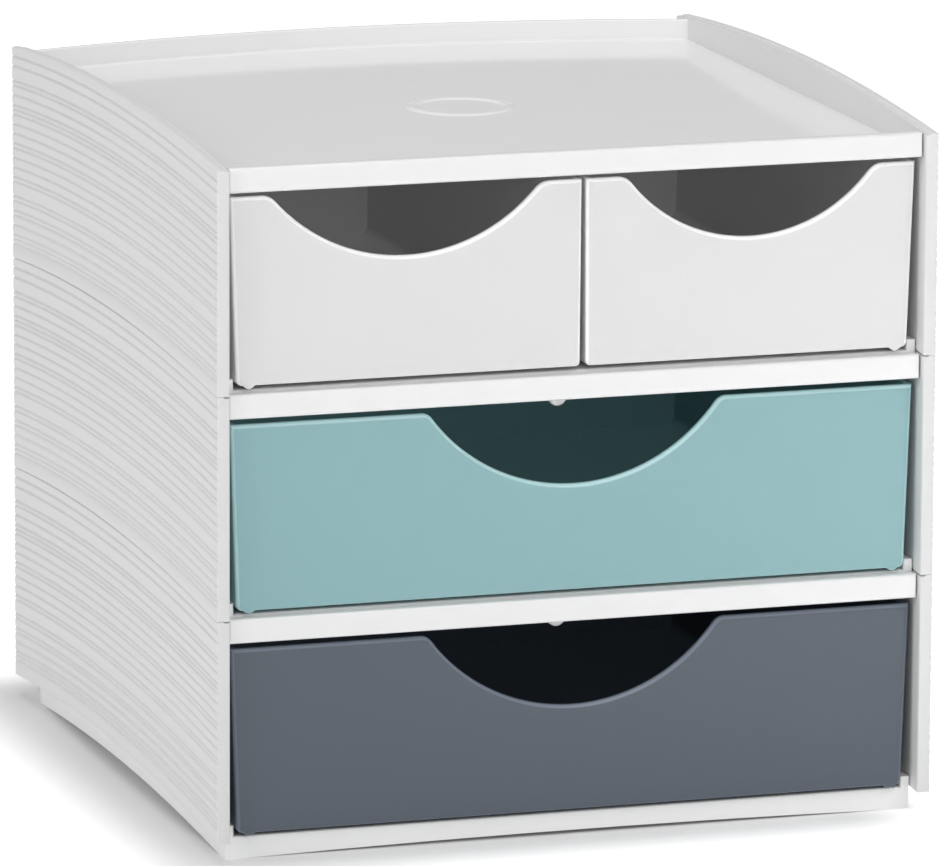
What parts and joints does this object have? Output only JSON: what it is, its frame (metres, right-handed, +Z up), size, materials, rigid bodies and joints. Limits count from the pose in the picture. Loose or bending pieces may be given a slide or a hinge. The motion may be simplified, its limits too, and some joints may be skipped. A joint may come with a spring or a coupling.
{
  "type": "desktop mini drawers",
  "caption": "Low stack of nested drawer modules with arched, ribbed side panels, a raised-edge top tray and scooped finger cut-outs in the drawer fronts.",
  "frame": {"origin": "middle of the footprint, on the surface that the unit stands on", "axes": "+Z up, +Y towards the bowed back, +X to the right as seen from the drawers"},
  "size_m": [0.19, 0.1998, 0.1806],
  "materials": {
    "panel_grey_white": "satin moulded plastic with horizontal strata",
    "deck_white": "glossy moulded plastic",
    "base_white": "glossy moulded plastic",
    "drawer_white": "smooth moulded plastic",
    "teal": "smooth moulded plastic",
    "slate": "smooth moulded plastic"
  },
  "bodies": {
    "casing": {"bottom_left_side_panel": "panel_grey_white", "bottom_right_side_panel": "panel_grey_white", "bottom_deck": "deck_white", "bottom_base": "base_white", "bottom_back_wall": "base_white", "middle_left_side_panel": "panel_grey_white", "middle_right_side_panel": "panel_grey_white", "middle_deck": "deck_white", "middle_base": "base_white", "middle_back_wall": "base_white", "top_left_side_panel": "panel_grey_white", "top_right_side_panel": "panel_grey_white", "top_deck": "deck_white", "top_base": "base_white", "top_back_wall": "base_white", "top_centre_guide": "base_white"},
    "bottom_drawer_body": {"bottom_drawer": "slate"},
    "middle_drawer_body": {"middle_drawer": "teal"},
    "top_left_drawer_body": {"top_left_drawer": "drawer_white"},
    "top_right_drawer_body": {"top_right_drawer": "drawer_white"}
  },
  "joints": [
    {"name": "bottom_drawer_slide", "type": "slide", "parent": "casing", "child": "bottom_drawer_body", "axis": [0, -1, 0], "range_m": [0, 0.159]},
    {"name": "middle_drawer_slide", "type": "slide", "parent": "casing", "child": "middle_drawer_body", "axis": [0, -1, 0], "range_m": [0, 0.159]},
    {"name": "top_left_drawer_slide", "type": "slide", "parent": "casing", "child": "top_left_drawer_body", "axis": [0, -1, 0], "range_m": [0, 0.159]},
    {"name": "top_right_drawer_slide", "type": "slide", "parent": "casing", "child": "top_right_drawer_body", "axis": [0, -1, 0], "range_m": [0, 0.159]}
  ]
}
